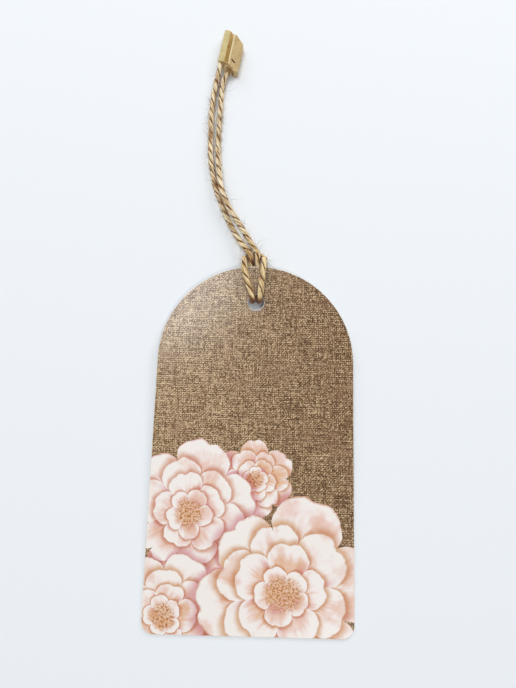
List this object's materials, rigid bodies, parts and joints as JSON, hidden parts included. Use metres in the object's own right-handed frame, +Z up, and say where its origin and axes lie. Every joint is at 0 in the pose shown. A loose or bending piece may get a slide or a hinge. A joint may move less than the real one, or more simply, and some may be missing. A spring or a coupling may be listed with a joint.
{
  "type": "cardboard tag",
  "caption": "Printed cardboard gift tag with an arched top and a punched hole, on a loop of jute twine tied as a lark's head knot and closed by a small moulded snap lock.",
  "frame": {"origin": "the middle of the lying card at table level, below the centre of the card's bounding box", "axes": "+Z up out of the printed face, +Y along the card from its straight end to its arched end, where the twine leaves, +X to the right of someone who looks at the face with the arch away from them"},
  "size_m": [0.05, 0.1622, 0.0042],
  "materials": {
    "board": "matte white board",
    "film": "printed and laminated, satin gloss",
    "twine": "two-ply natural jute",
    "lock_body": "moulded, satin",
    "lock_plug": "moulded, satin"
  },
  "bodies": {
    "tag": {"card_board": "board", "print_film": "film"},
    "knot": {"twine_hitch": "twine"},
    "cord": {"twine_leg_left": "twine", "twine_leg_right": "twine", "lock_body": "lock_body"},
    "plug": {"lock_plug": "lock_plug"}
  },
  "joints": [
    {"name": "knot_swing", "type": "hinge", "parent": "tag", "child": "knot", "pos_m": [-0.0003, 0.03518, 0.0018], "axis": [0, -0.0224, 0.9997], "range_deg": [-12, 12]},
    {"name": "cord_flip", "type": "hinge", "parent": "knot", "child": "cord", "pos_m": [-0.00155, 0.0489, 0.00264], "axis": [1, 0, 0], "range_deg": [-30, 110]},
    {"name": "lock_snap", "type": "slide", "parent": "cord", "child": "plug", "axis": [-0.9877, 0.1564, 0], "range_m": [0, 0.003], "deforming": ["twine_leg_left"]}
  ]
}
